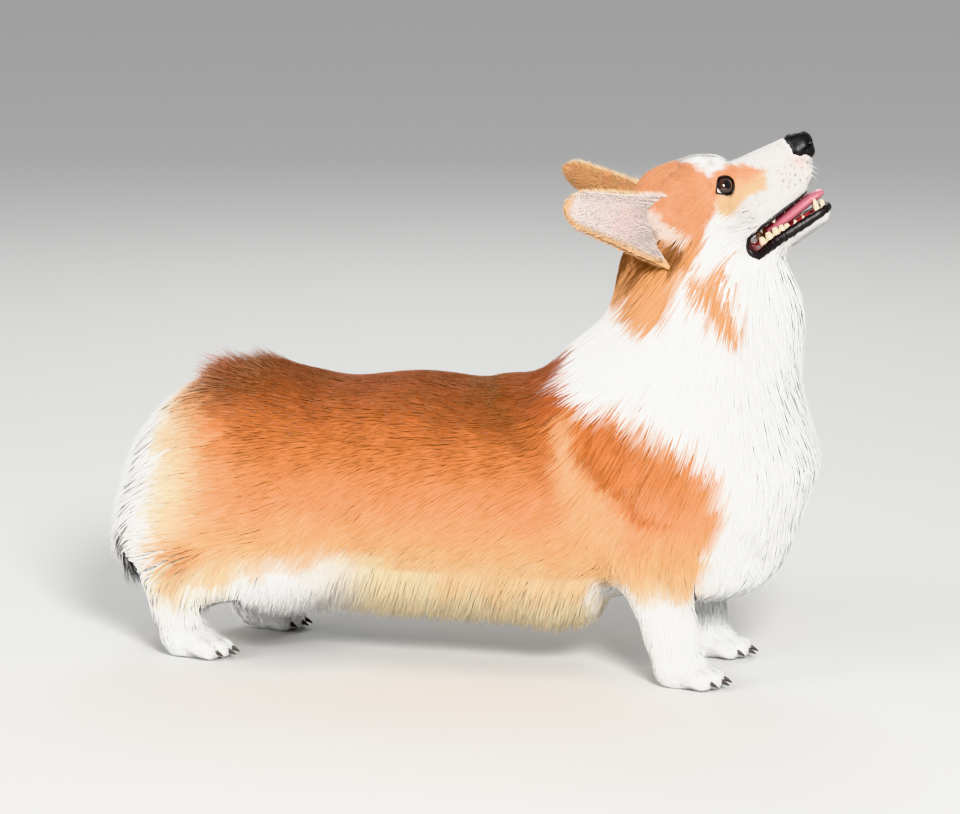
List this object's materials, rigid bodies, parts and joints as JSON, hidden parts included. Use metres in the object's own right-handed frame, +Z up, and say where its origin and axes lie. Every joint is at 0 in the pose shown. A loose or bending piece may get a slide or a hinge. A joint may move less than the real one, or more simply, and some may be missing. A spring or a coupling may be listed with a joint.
{
  "type": "pembroke welsh corgi",
  "caption": "Life-size still model of a short-legged herding dog with pricked ears, white ruff and bobbed tail, standing with its muzzle lifted and its mouth open.",
  "frame": {"origin": "middle of the foot of the box around the dog, on the floor between the paws", "axes": "+X from the rump to the chest, along the length of the body; +Y to the dog's left; +Z up"},
  "size_m": [0.6594, 0.229, 0.4851],
  "materials": {
    "coat_white": "matt fur",
    "coat_red": "matt fur",
    "ear_skin": "short velvety fur",
    "nose_leather": "moist grained leather",
    "eye": "wet gloss",
    "tongue": "moist flesh",
    "claw": "smooth horn",
    "tooth": "enamel",
    "gum": "moist flesh"
  },
  "bodies": {
    "root": {"neck": "coat_white", "chest": "coat_white", "torso": "coat_red", "rump": "coat_red", "breeches": "coat_white", "tail": "coat_red", "foreleg_right": "coat_white", "foreleg_left": "coat_white", "thigh_right": "coat_red", "thigh_left": "coat_red", "hindleg_right": "coat_white", "hindleg_left": "coat_white", "forepaw_right": "coat_white", "forepaw_left": "coat_white", "hindpaw_right": "coat_white", "hindpaw_left": "coat_white", "nose": "nose_leather", "eye_right": "eye", "eye_left": "eye", "head": "coat_red", "muzzle": "coat_white", "jaw_lower": "coat_white", "ear_right": "ear_skin", "ear_left": "ear_skin", "tongue": "tongue"}
  },
  "joints": []
}
